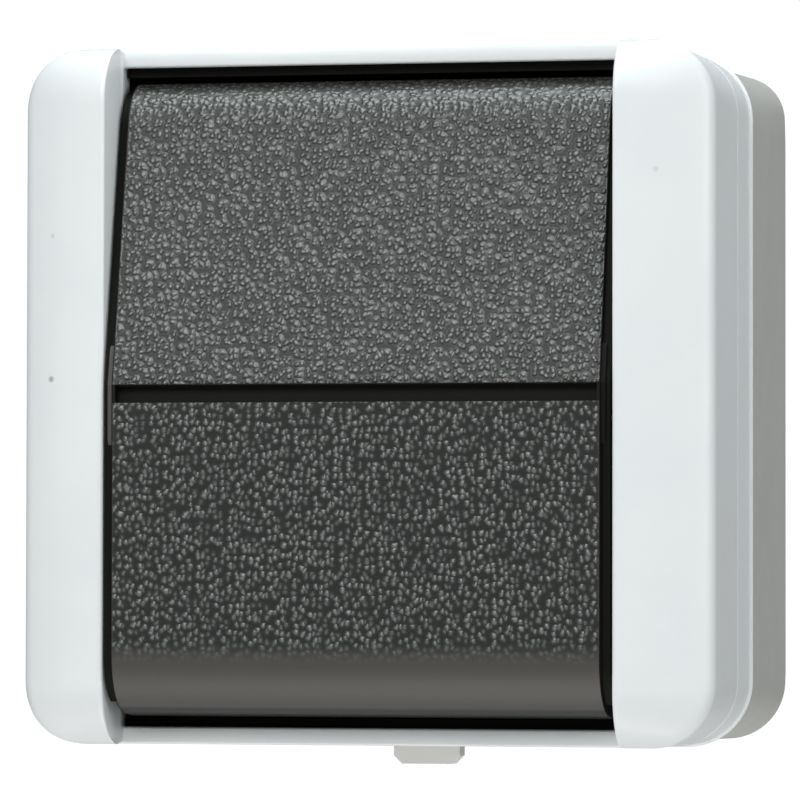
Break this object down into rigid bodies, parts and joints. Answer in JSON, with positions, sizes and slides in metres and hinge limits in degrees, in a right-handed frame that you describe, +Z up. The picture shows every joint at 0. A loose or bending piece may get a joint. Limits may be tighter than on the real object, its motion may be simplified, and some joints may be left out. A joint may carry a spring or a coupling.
{
  "type": "surface mounted outdoor rocker switch",
  "caption": "Square surface-mounted splashproof rocker switch in a light grey housing with two raised side wings, a dark tilting rocker and a cable entry on top.",
  "frame": {"origin": "middle of the back of the rear box, on the wall", "axes": "+Z up along the wall, the front faces -Y, +X to the right of someone facing the switch"},
  "size_m": [0.0668, 0.0505, 0.0702],
  "materials": {
    "housing": "satin light grey",
    "box": "satin warm grey",
    "rocker": "pebbled dark grey",
    "frame": "matte black",
    "tumbler": "satin ivory",
    "insulator": "matte",
    "seal": "matte",
    "steel": "zinc plated",
    "brass": "plain",
    "contact": "bright contact metal"
  },
  "bodies": {
    "housing": {"rear_box": "box", "cable_seal": "seal", "box_gasket": "seal", "cover": "housing", "rocker_frame": "frame", "frame_screws": "steel", "cover_screws": "steel", "rocker_pins": "steel", "leg_boot": "seal", "support_plate": "steel", "plate_screws": "steel", "plate_rivets": "steel", "mechanism_base": "insulator", "mechanism_lid": "insulator", "tumbler_axle": "steel", "upper_contact": "brass", "lower_contact": "brass", "common_terminal": "brass", "fixed_rivets": "contact", "clamp_sleeves": "brass", "clamp_screws": "steel", "loop_terminal": "brass", "loop_screws": "steel"},
    "rocker": {"rocker": "rocker"},
    "tumbler": {"tumbler": "tumbler", "toggle_spring": "steel", "plunger": "brass"},
    "contact_lever": {"contact_lever": "brass", "lever_rivets": "contact"}
  },
  "joints": [
    {"name": "rocker_tilt", "type": "hinge", "parent": "housing", "child": "rocker", "pos_m": [0, -0.04242, 0], "axis": [1, 0, 0], "range_deg": [0, 12.5]},
    {"name": "tumbler_swing", "type": "hinge", "parent": "housing", "child": "tumbler", "pos_m": [0, -0.01799, 0], "axis": [1, 0, 0], "range_deg": [-18, 0]},
    {"name": "lever_swing", "type": "hinge", "parent": "housing", "child": "contact_lever", "pos_m": [0, -0.0104, 0], "axis": [1, 0, 0], "range_deg": [0, 16]}
  ],
  "couplings": [
    {"joint": "tumbler_swing", "follows": "rocker_tilt", "ratio": -1.44},
    {"joint": "lever_swing", "follows": "rocker_tilt", "ratio": 1.28}
  ]
}
